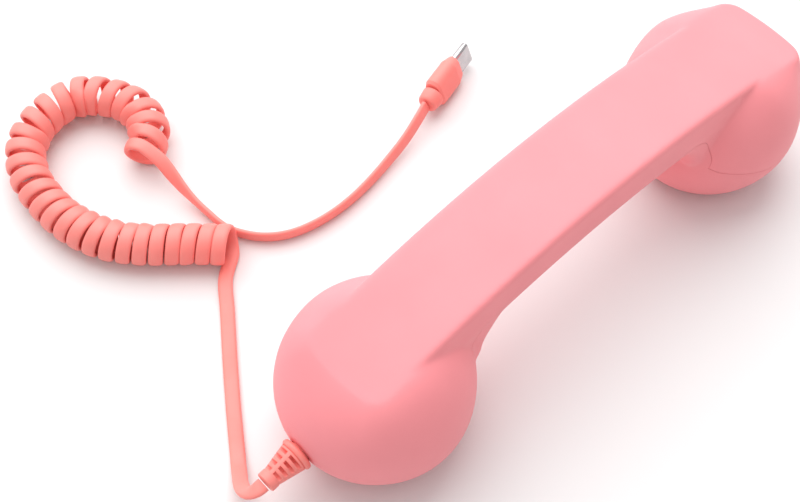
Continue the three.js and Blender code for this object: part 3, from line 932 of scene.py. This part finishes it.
def make_key(key):
    x, half, width, travel = KEYS[key]
    under = back_height(x) - GRIP_THICK
    face, flange, nub = under - 0.7, under + WALL + 2 * GAP, 52.2 - GAP - 2.6
    made = key_block(key + "_cover", key, 0, face, flange + 0.5)
    combine(made, key_block("flange", key, 0.9, flange, flange + 0.9), "UNION")
    combine(made, rod("stem", 1.4, flange + 0.5, nub - travel - 0.3, x, 0, 24), "UNION")
    edit(made, "FACE")
    pick(made, "faces", lambda f: facing_down(f) and f.calc_center_median().z < (face + 0.1) * MM)
    bpy.ops.mesh.dissolve_faces()
    bpy.ops.mesh.inset(thickness=0.3 * MM)
    bpy.ops.transform.translate(value=mm(0, 0, -0.25))
    bpy.ops.mesh.inset(thickness=0.7 * MM)
    bpy.ops.transform.translate(value=mm(0, 0, 0.3 if key == "call_button" else 0.12))
    done(made)
    if key != "call_button":
        low = face - 0.3
        bars = block("bar", (x - 1.1, -0.26, low), (x + 1.1, 0.26, face + 0.6))
        if "up" in key:
            combine(bars, block("upright", (x - 0.26, -1.1, low + 0.01), (x + 0.26, 1.1, face + 0.61)), "UNION")
        combine(made, bars, "UNION")
    modify(made, "BEVEL", width=0.1 * MM, segments=2, limit_method="ANGLE", angle_limit=radians(50))
    dress(smooth(made, 30), key_finish)
    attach(made, key)
    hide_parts(key)
    return made


for key in KEYS:
    print(key, "faces:", len(make_key(key).data.polygons))

# %% [markdown]
# ## Strain relief
# The slotted rubber sleeve keeps the cord from kinking where it leaves the cup. It
# is turned round the cord's axis, with a fat lip against the cup and a small end
# collar, and four rows of slots are cut down to the core, each row split by four
# ribs: above, below and at each side.

# %% Strain relief
RELIEF_LENGTH, RELIEF_BASE, RELIEF_END, RELIEF_CORE = 13.6, 4.9, 3.1, 2.1
SLOT_ROWS, SLOTS_START = 4, 2.6


def lay_relief(obj):
    """From standing on end to lying along the cord's way out."""
    across = Vector((0, 1, 0))
    turn = Matrix((relief_axis.cross(across) * -1, across, relief_axis)).transposed()
    obj.matrix_world = Matrix.Translation(mm(*RELIEF_AT)) @ turn.to_4x4()
    return settle(obj)


def make_relief():
    collar = RELIEF_LENGTH - 2.6
    outline = [(0, -4.6), (5.2, -4.6), (5.2, -3.1), (3.3, -3.1), (3.3, GAP),
               *arc(4.5, 1.35, 1.05, -pi / 2, pi / 2, 10), (RELIEF_BASE, SLOTS_START),
               (RELIEF_END + 0.02, collar), (RELIEF_END + 0.2, collar + 0.15),
               (RELIEF_END + 0.2, RELIEF_LENGTH - 0.3), (RELIEF_END - 0.05, RELIEF_LENGTH), (0, RELIEF_LENGTH)]
    relief = turn_round("cord_sleeve", outline, 72)
    pitch = (collar - SLOTS_START) / SLOT_ROWS
    for i in range(SLOT_ROWS):
        low = SLOTS_START + pitch * (i + 0.3)
        ring = rod("slot", 7, low, low + pitch * 0.5, 0, 0, 64)
        combine(ring, rod("core", RELIEF_CORE, -1, 20, 0, 0, 48), "DIFFERENCE")
        combine(ring, block("rib", (-7, -0.62, low - 1), (7, 0.62, low + 3)), "DIFFERENCE")
        combine(ring, block("side_rib", (-1.2, -7, low - 1), (1.2, 7, low + 3)), "DIFFERENCE")
        combine(relief, ring, "DIFFERENCE")
    modify(relief, "BEVEL", width=0.14 * MM, segments=2, limit_method="ANGLE", angle_limit=radians(40))
    dress(smooth(lay_relief(relief), 30), cover_finish)
    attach(relief, "handset")
    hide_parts("strain_relief")
    return relief


relief = make_relief()
print("strain relief faces:", len(relief.data.polygons))

# %% [markdown]
# ## Plug
# A small USB-C plug: a round collar that grips the cord, a flat overmould with
# round sides, and a thin drawn-metal shell round a contact tongue. The overmould is
# a cube whose long edges are bevelled right round, and both its ends are tapered.
# The plug lies nearly on its edge, as the strap does.

# %% Plug pieces, drawn standing on the cord's end
OVERMOULD_START, OVERMOULD_END, SHELL_LENGTH = 5.1, 19.4, 7.4
# Each end's taper: where, how long, and how much of the thickness and width is left.
OVERMOULD_TAPERS = ((OVERMOULD_START, 1.1, 0.86, 0.86), (OVERMOULD_END, -3.4, 0.7, 0.84))


def lay_plug(obj):
    turn = Matrix.Rotation(PLUG_TURN, 4, "Z") @ Matrix.Rotation(pi / 2, 4, "Y")
    turn = turn @ Matrix.Rotation(PLUG_ROLL, 4, "Z")
    obj.matrix_world = Matrix.Translation(PLUG_AT) @ turn
    return settle(obj)


def upright(edge):
    a, b = (v.co for v in edge.verts)
    return abs(a.z - b.z) > 1 * MM


def stadium(name, thick, width, low, high, segments=14):
    """A slab with fully round sides, standing on end."""
    made = block(name, (-thick / 2, -width / 2, low), (thick / 2, width / 2, high))
    edit(made, "EDGE")
    pick(made, "edges", upright)
    bpy.ops.mesh.bevel(offset=thick / 2 * MM * 0.999, segments=segments)
    return done(made)


def soften(obj, width, segments=4, angle=50):
    return modify(obj, "BEVEL", width=width * MM, segments=segments, limit_method="ANGLE",
                  angle_limit=radians(angle))


def finish_piece(obj, node, material, degrees=35):
    dress(smooth(obj, degrees), material)
    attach(obj, "handset")
    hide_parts(node)
    print(obj.name, "faces:", len(obj.data.polygons))
    return obj


def make_overmould():
    made = stadium("plug_grip", 6.4, 11.4, OVERMOULD_START, OVERMOULD_END)
    edit(made, "EDGE")
    for end, length, _, _ in OVERMOULD_TAPERS:
        bpy.ops.mesh.select_all(action="SELECT")
        bpy.ops.mesh.bisect(plane_co=mm(0, 0, end + length), plane_no=(0, 0, 1))
    for end, _, thick, width in OVERMOULD_TAPERS:
        pick(made, "verts", lambda v: abs(v.co.z - end * MM) < 1e-6)
        bpy.ops.transform.resize(value=(thick, width, 1), center_override=mm(0, 0, end))
    done(made)
    modify(made, "BEVEL", width=0.9 * MM, segments=5, limit_method="ANGLE", angle_limit=radians(9))
    return lay_plug(made)


def make_collar():
    outline = [(0, 0), (2.9, 0), (3.2, 0.25), (3.55, 0.8), (3.95, 4.1), (3.9, 4.5), (3.6, 4.8), (0, 4.8)]
    return lay_plug(turn_round("plug_neck", outline, 64))


def make_metal():
    front = OVERMOULD_END + GAP
    made = stadium("plug_metal_shell", 2.56, 8.34, front, front + SHELL_LENGTH, 12)
    combine(made, stadium("hollow", 1.92, 7.7, front + 0.6, front + SHELL_LENGTH + 1, 12), "DIFFERENCE")
    return lay_plug(soften(made, 0.09, 2))


def make_tongue():
    front = OVERMOULD_END + GAP + 0.9
    made = soften(block("plug_contact_tongue", (-0.35, -2.6, front), (0.35, 2.6, front + 4.6)), 0.12, 2)
    return lay_plug(made)


def make_contacts():
    """Six flat gold contacts on each face of the tongue, each made as its own block and joined."""
    front = OVERMOULD_END + GAP + 0.9
    made = block("plug_contacts", (-0.36, -2.05, front + 1.6), (0.36, -1.75, front + 4.2))
    for i in range(1, 6):
        other = block("contact", (-0.36, -2.05 + 0.76 * i, front + 1.6), (0.36, -1.75 + 0.76 * i, front + 4.2))
        combine(made, other, "UNION")
    return lay_plug(soften(made, 0.03, 1))


# %% Metal finishes, and the plug put together


def metal(name, base, rough=0.28, brush=900.0, stretch=(1, 1, 1)):
    """Bare metal with faint drawing marks and a little haze."""
    made = Finish(name, rough, **{"Metallic": 1.0})
    place = made.node("Mapping", {"Vector": made.place, "Scale": stretch}).outputs["Vector"]
    marks = made.noise(brush, 3, place)
    haze = made.spread(made.noise(260, 3), 0.35, 0.7)
    dull = tuple(v * 0.86 for v in base[:3]) + (1.0,)
    made.colour(made.mix(haze, dull, base))
    made.rough(made.spread(marks, 0.3, 0.7, rough - 0.07, rough + 0.09))
    made.bump(marks, 0.00002, 0.35)
    return made.material


plug_metal = metal("plug_steel", (0.56, 0.53, 0.54, 1), 0.2, stretch=(1, 6, 6))
gold = metal("contact_gold", (0.86, 0.62, 0.28, 1), 0.3)


def moulded_black(name, base=(0.03, 0.028, 0.03, 1), rough=0.5, grain=2400):
    made = Finish(name, rough)
    fine = made.noise(grain, 2)
    paler = tuple(v * 1.7 for v in base[:3]) + (1.0,)
    made.colour(made.mix(made.spread(fine, 0.4, 0.7), base, paler))
    made.rough(made.spread(made.noise(300, 3), 0.3, 0.7, rough - 0.08, rough + 0.1))
    made.bump(fine, 0.00003, 0.4)
    return made.material


black = moulded_black("contact_block_black")
finish_piece(make_collar(), "plug_collar", cover_finish)
finish_piece(make_overmould(), "plug_overmould", cover_finish)
finish_piece(make_metal(), "plug_shell", plug_metal)
finish_piece(make_tongue(), "plug_tongue", black)
contacts = dress(smooth(make_contacts()), gold)
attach(contacts, "handset")

# %% [markdown]
# ## The pieces inside
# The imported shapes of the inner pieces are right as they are, so they stay and only
# get their finishes: woven cloth, pressed steel, a paper-like diaphragm, rubber, a
# cast weight, circuit boards with traces, and wire covering.

# %% Finishes of the inner pieces


def woven(name, base, threads=1500.0):
    """Cloth: two crossed sets of threads."""
    made = Finish(name, 0.9, **{"Sheen_Weight": 0.3})
    waves = [made.node("TexWave", {"Vector": made.place, "Scale": threads / 6.28, "Distortion": 0.6},
                       bands_direction=way).outputs["Fac"] for way in ("X", "Y")]
    weave = made.node("Math", {0: waves[0], 1: waves[1]}, operation="MULTIPLY").outputs[0]
    paler = tuple(min(1.0, v * 2.2) for v in base[:3]) + (1.0,)
    made.colour(made.mix(weave, base, paler))
    made.bump(weave, 0.0001, 0.8)
    return made.material


def board(name, base=(0.02, 0.13, 0.06, 1)):
    """Green lacquer over copper traces."""
    made = Finish(name, 0.35, **{"Coat_Weight": 0.3})
    cells = made.node("TexVoronoi", {"Vector": made.place, "Scale": 420.0}, distance="MANHATTAN",
                      feature="F1").outputs["Distance"]
    traces = made.spread(cells, 0.28, 0.32)
    made.colour(made.mix(traces, base, (0.05, 0.24, 0.1, 1)))
    made.rough(made.spread(made.noise(400, 2), 0.3, 0.7, 0.28, 0.42))
    made.bump(traces, 0.00003, 0.5)
    return made.material


steel = metal("pressed_steel", (0.6, 0.6, 0.62, 1), 0.33)
weight_steel = metal("cast_weight", (0.36, 0.37, 0.39, 1), 0.5, 500.0)
magnet = metal("plated_magnet", (0.52, 0.52, 0.55, 1), 0.22)
cloth = woven("dark_cloth", (0.02, 0.018, 0.02, 1))
diaphragm = moulded_black("diaphragm_film", (0.05, 0.045, 0.045, 1), 0.4, 1200)
boot = moulded_black("rubber_boot", (0.02, 0.02, 0.022, 1), 0.8, 1800)
chip = moulded_black("chip_epoxy", (0.015, 0.015, 0.017, 1), 0.55, 4000)
switch = moulded_black("switch_case", (0.05, 0.05, 0.055, 1), 0.45, 1600)
wire = cord_rubber("wire_cover", (0.45, 0.05, 0.05, 1))
circuit = board("circuit_board")

BY_SLOT = {"cloth": cloth, "steel": steel, "diaphragm": diaphragm, "magnet": magnet, "boot": boot,
           "weight": weight_steel, "board": circuit, "chip": chip, "switch": switch, "wire": wire}
SLOT_OF = {"ear_cloth": "cloth", "mouth_cloth": "cloth", "speaker_frame": "steel",
           "speaker_diaphragm": "diaphragm",
           "speaker_magnet": "magnet", "microphone_boot": "boot", "microphone_capsule": "steel"}


def slot_of(name):
    if name in SLOT_OF:
        return SLOT_OF[name]
    for ending, slot in (("wire", "wire"), ("chip", "chip"), ("switch", "switch"), ("_board", "board"),
                         ("_weight", "weight")):
        if name.endswith(ending):
            return slot
    return "steel"


for name, obj in nodes.items():
    if not obj.hide_render:
        dress(obj, BY_SLOT[slot_of(name)])
        print(name, "->", slot_of(name))

# %% [markdown]
# ## Floor and lights
# A pale floor curves nowhere: it is one large, nearly white sheet, so the handset
# seems to stand in a bright studio. One big soft light hangs behind the handset,
# and a white world that is brighter above and behind lights all the rest.

# %% Floor and world


def make_floor():
    bpy.ops.mesh.primitive_plane_add(size=6, location=(0, 0, -0.0002))
    floor = named("studio_floor")
    made = Finish("studio_floor", 0.9, **{"Specular_IOR_Level": 0.1})
    shade = made.spread(made.noise(3, 3), 0.3, 0.7)
    made.colour(made.mix(shade, (0.8, 0.8, 0.8, 1), (0.83, 0.83, 0.83, 1)))
    made.bump(made.noise(300, 3), 0.0001, 0.05)
    dress(floor, made.material)
    return floor


def make_world(dim, bright, towards):
    """A white room that is brighter on one side."""
    world = bpy.data.worlds.new("studio")
    world.use_nodes = True
    tree = world.node_tree
    place = tree.nodes.new("ShaderNodeTexCoord")
    share = tree.nodes.new("ShaderNodeVectorMath")
    share.operation = "DOT_PRODUCT"
    share.inputs[1].default_value = Vector(towards).normalized()
    level = tree.nodes.new("ShaderNodeMapRange")
    for key, value in {"From Min": -0.5, "From Max": 1.0, "To Min": dim, "To Max": bright}.items():
        level.inputs[key].default_value = value
    tree.links.new(place.outputs["Generated"], share.inputs[0])
    tree.links.new(share.outputs["Value"], level.inputs["Value"])
    tree.links.new(level.outputs["Result"], tree.nodes["Background"].inputs["Strength"])
    tree.nodes["Background"].inputs["Color"].default_value = (1, 1, 1, 1)
    bpy.context.scene.world = world


def area_light(name, place, aim, size, watts):
    data = bpy.data.lights.new(name, "AREA")
    data.shape, data.size, data.energy = "DISK", size, watts
    light = bpy.data.objects.new(name, data)
    bpy.context.scene.collection.objects.link(light)
    light.location = place
    light.rotation_mode = "QUATERNION"
    light.rotation_quaternion = (Vector(aim) - Vector(place)).to_track_quat("-Z", "Y")
    return light


floor = make_floor()
make_world(0.36, 1.0, (0.1, 0.6, 0.75))
area_light("key_light", (0.4, 0.85, 1.4), (0, 0, 0.02), 2.3, 31.5)
bpy.context.scene.view_settings.view_transform = "Standard"
